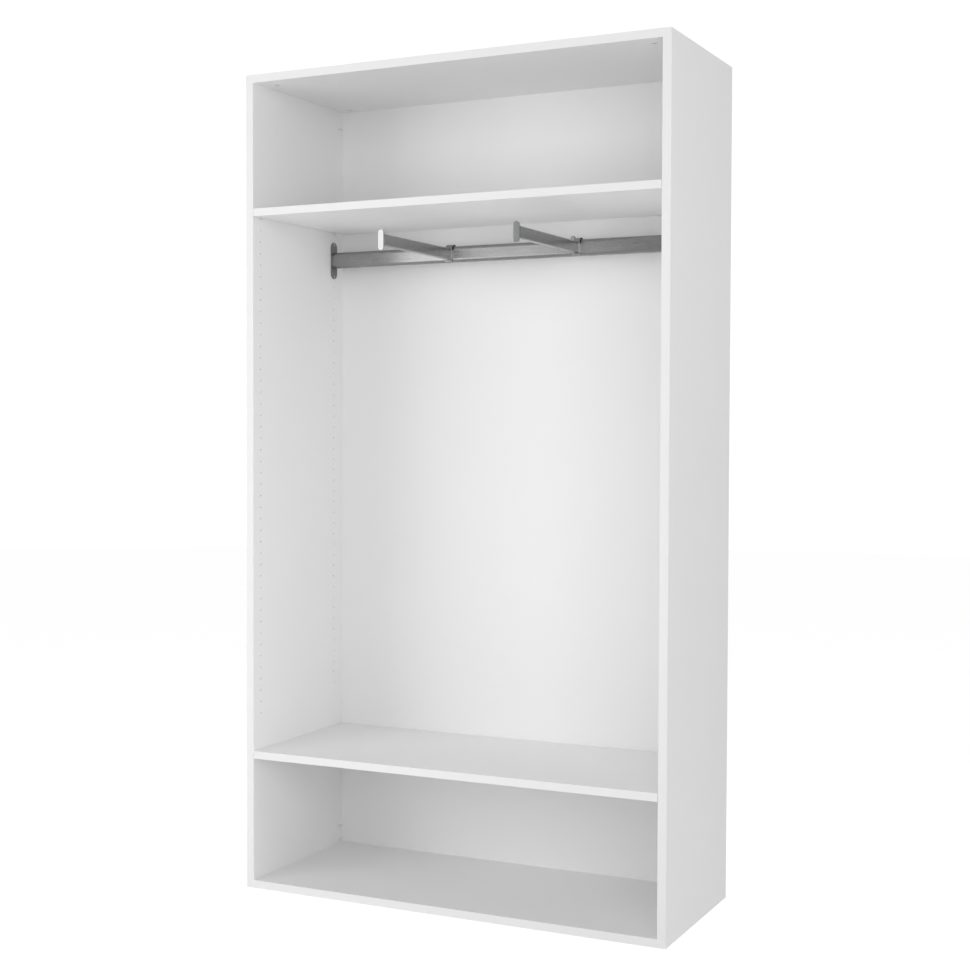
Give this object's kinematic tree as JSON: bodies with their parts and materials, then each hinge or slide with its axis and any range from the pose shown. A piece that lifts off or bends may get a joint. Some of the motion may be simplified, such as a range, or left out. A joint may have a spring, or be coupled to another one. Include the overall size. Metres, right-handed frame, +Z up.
{
  "type": "open wardrobe",
  "caption": "Tall open wardrobe carcass in white board with upper and lower shelves and a rear hanging rail that carries forward-pointing arms.",
  "frame": {"origin": "on the floor, under the centre of the carcass", "axes": "+Z up, +X to the right as seen from the front, +Y from the open front to the back panel"},
  "size_m": [1.2, 0.54, 2.25],
  "materials": {
    "white_board": "white melamine-faced board with a very fine matt grain",
    "white_back": "white lacquered fibreboard, smooth and matt",
    "white_edge_band": "white edge band, satin",
    "zinc": "die-cast zinc, satin",
    "beech": "fluted beech dowel",
    "pale_plastic": "pale moulded plastic",
    "satin_metal": "satin anodised, fine lengthwise grain",
    "dark_metal": "satin grey painted metal",
    "cap_metal": "satin, fine cast grain",
    "screw_steel": "bright zinc plated",
    "black_nylon": "black nylon"
  },
  "bodies": {
    "carcass": {"left_side_panel": "white_board", "right_side_panel": "white_board", "top_panel": "white_board", "bottom_panel": "white_board", "back_panel": "white_back", "left_side_edge_band": "white_edge_band", "right_side_edge_band": "white_edge_band", "top_edge_band": "white_edge_band", "bottom_edge_band": "white_edge_band", "cam_housings": "zinc", "connecting_bolts": "zinc", "wooden_dowels": "beech", "upper_shelf_supports": "zinc", "lower_shelf_supports": "zinc", "back_panel_connectors": "pale_plastic", "hanging_rail": "satin_metal", "left_rail_bracket": "dark_metal", "right_rail_bracket": "dark_metal", "rail_bracket_screws": "screw_steel"},
    "upper_shelf": {"upper_shelf": "white_board", "upper_shelf_edge_band": "white_edge_band"},
    "lower_shelf": {"lower_shelf": "white_board", "lower_shelf_edge_band": "white_edge_band"},
    "left_glider": {"left_rail_glider": "black_nylon"},
    "right_glider": {"right_rail_glider": "black_nylon"},
    "left_arm": {"left_arm_saddle": "satin_metal", "left_arm_profile": "satin_metal", "left_arm_end_cap": "cap_metal", "left_arm_screw": "screw_steel"},
    "right_arm": {"right_arm_saddle": "satin_metal", "right_arm_profile": "satin_metal", "right_arm_end_cap": "cap_metal", "right_arm_screw": "screw_steel"}
  },
  "joints": [
    {"name": "left_arm_slide", "type": "slide", "parent": "carcass", "child": "left_glider", "axis": [1, 0, 0], "range_m": [-0.36, 0.172]},
    {"name": "right_arm_slide", "type": "slide", "parent": "carcass", "child": "right_glider", "axis": [1, 0, 0], "range_m": [-0.172, 0.36]},
    {"name": "left_arm_lift", "type": "slide", "parent": "left_glider", "child": "left_arm", "axis": [0, 0, 1], "range_m": [0, 0.03]},
    {"name": "right_arm_lift", "type": "slide", "parent": "right_glider", "child": "right_arm", "axis": [0, 0, 1], "range_m": [0, 0.03]},
    {"name": "upper_shelf_lift", "type": "slide", "parent": "carcass", "child": "upper_shelf", "axis": [0, 0, 1], "range_m": [0, 0.256]},
    {"name": "lower_shelf_lift", "type": "slide", "parent": "carcass", "child": "lower_shelf", "axis": [0, 0, 1], "range_m": [0, 0.64]}
  ]
}
